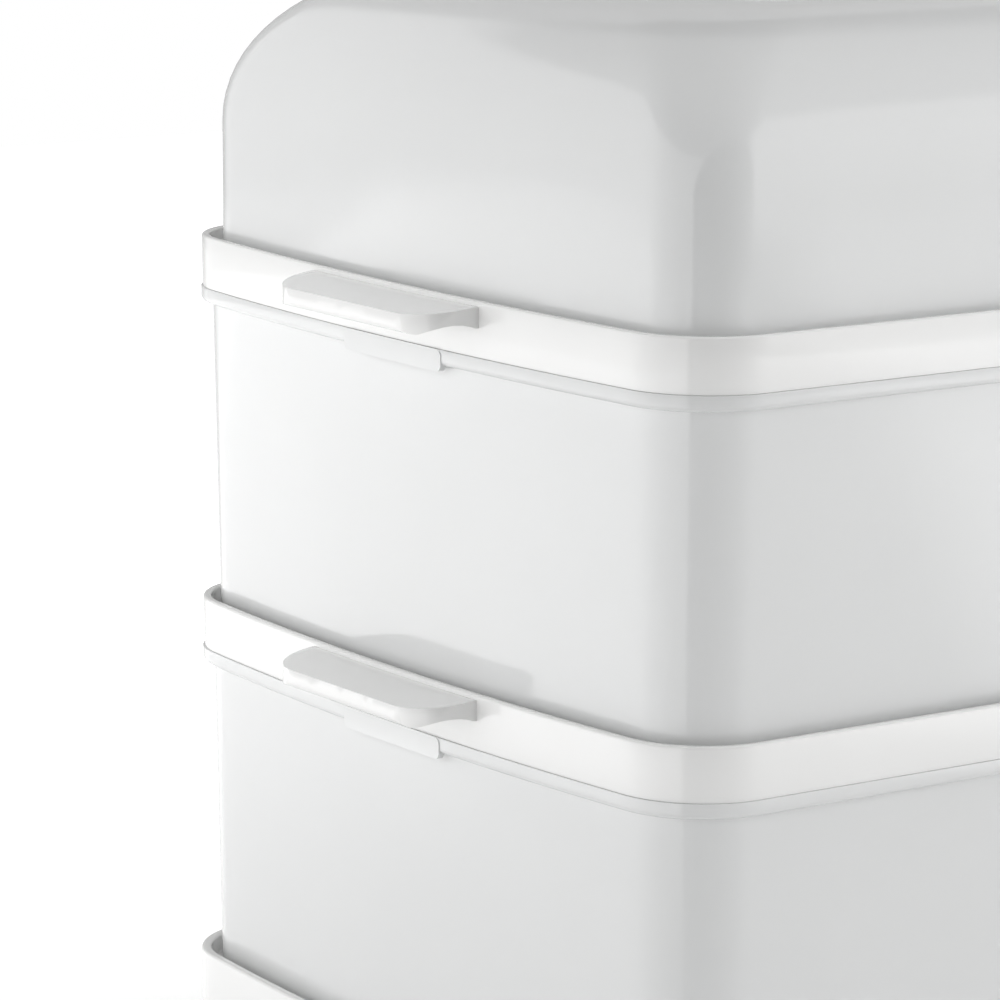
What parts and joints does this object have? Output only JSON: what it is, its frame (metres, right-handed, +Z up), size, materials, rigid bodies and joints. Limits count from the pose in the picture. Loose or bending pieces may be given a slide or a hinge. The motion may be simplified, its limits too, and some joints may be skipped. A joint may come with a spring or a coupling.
{
  "type": "electric food steamer",
  "caption": "Electric food steamer with stacked clear trays, white rims with plate handles, a clear domed lid, and a base with water tub, timer knob and buttons.",
  "frame": {"origin": "middle of the whole object's box, on the surface that the rubber feet stand on", "axes": "+Z up through the stack, -Y out of the face with the timer knob, +X towards the end with the water filler; the tray handles are at the -X and +X ends"},
  "size_m": [0.351, 0.2616, 0.396],
  "materials": {
    "white_gloss": "moulded, glossy",
    "white_matte": "moulded, fine texture",
    "grey_matte": "moulded, satin",
    "grey_gloss": "moulded, glossy",
    "smoke_clear": "moulded, clear and tinted",
    "milky_clear": "moulded, milky clear",
    "clear_plastic": "moulded, clear with a slight haze",
    "amber_clear": "moulded, clear and tinted",
    "rubber_grey": "moulded",
    "silicone": "moulded",
    "steel": "stainless",
    "cast_alloy": "die cast",
    "ceramic_white": "fired",
    "black_matte": "moulded",
    "board_green": "laminate with solder mask",
    "wire_brown": "extruded sleeve",
    "wire_blue": "extruded sleeve"
  },
  "bodies": {
    "base": {"base_housing": "white_gloss", "bottom_cover": "white_matte", "rubber_feet": "rubber_grey", "cover_screws": "steel", "water_tub": "grey_matte", "tub_screws": "steel", "water_filler": "grey_matte", "water_gauge": "clear_plastic", "heater_seal": "silicone", "heater_clamp": "steel", "heater_studs": "steel", "hot_plate": "steel", "heater_block": "cast_alloy", "heating_element": "steel", "thermostat": "steel", "thermal_fuse": "ceramic_white", "control_panel": "grey_gloss", "timer_body": "black_matte", "timer_screws": "steel", "switch_board": "board_green", "button_switches": "black_matte", "board_screws": "steel", "indicator_led": "amber_clear", "lamp_lens": "amber_clear", "cord_gland": "rubber_grey", "terminal_block": "ceramic_white", "live_wire": "wire_brown", "switched_wire": "wire_brown", "neutral_wire": "wire_blue"},
    "timer_dial": {"timer_knob": "white_gloss", "timer_shaft": "steel"},
    "power_button": {"power_button": "white_gloss"},
    "warm_button": {"warm_button": "white_gloss"},
    "steam_collar": {"steam_collar": "grey_matte"},
    "drip_tray": {"drip_tray": "smoke_clear"},
    "lower_tray": {"lower_tray_rim": "white_gloss", "lower_tray_bowl": "clear_plastic"},
    "lower_grid": {"lower_floor_grid": "milky_clear"},
    "upper_tray": {"upper_tray_rim": "white_gloss", "upper_tray_bowl": "clear_plastic"},
    "upper_grid": {"upper_floor_grid": "milky_clear"},
    "lid": {"lid_dome": "clear_plastic", "lid_handle": "white_gloss", "lid_screws": "steel"}
  },
  "joints": [
    {"name": "timer_turn", "type": "hinge", "parent": "base", "child": "timer_dial", "pos_m": [-0.03, -0.11019, 0.059], "axis": [0, 1, 0], "range_deg": [0, 300]},
    {"name": "power_press", "type": "slide", "parent": "base", "child": "power_button", "axis": [0, 1, 0], "range_m": [0, 0.0015], "stiffness_N_per_m": 900},
    {"name": "warm_press", "type": "slide", "parent": "base", "child": "warm_button", "axis": [0, 1, 0], "range_m": [0, 0.0015], "stiffness_N_per_m": 900},
    {"name": "collar_lift", "type": "slide", "parent": "base", "child": "steam_collar", "axis": [0, 0, 1], "range_m": [0, 0.06]},
    {"name": "drip_tray_lift", "type": "slide", "parent": "steam_collar", "child": "drip_tray", "axis": [0, 0, 1], "range_m": [0, 0.1]},
    {"name": "lower_tray_lift", "type": "slide", "parent": "drip_tray", "child": "lower_tray", "axis": [0, 0, 1], "range_m": [0, 0.12]},
    {"name": "lower_grid_lift", "type": "slide", "parent": "lower_tray", "child": "lower_grid", "axis": [0, 0, 1], "range_m": [0, 0.06]},
    {"name": "upper_tray_lift", "type": "slide", "parent": "lower_tray", "child": "upper_tray", "axis": [0, 0, 1], "range_m": [0, 0.12]},
    {"name": "upper_grid_lift", "type": "slide", "parent": "upper_tray", "child": "upper_grid", "axis": [0, 0, 1], "range_m": [0, 0.06]},
    {"name": "lid_lift", "type": "slide", "parent": "upper_tray", "child": "lid", "axis": [0, 0, 1], "range_m": [0, 0.12]}
  ]
}
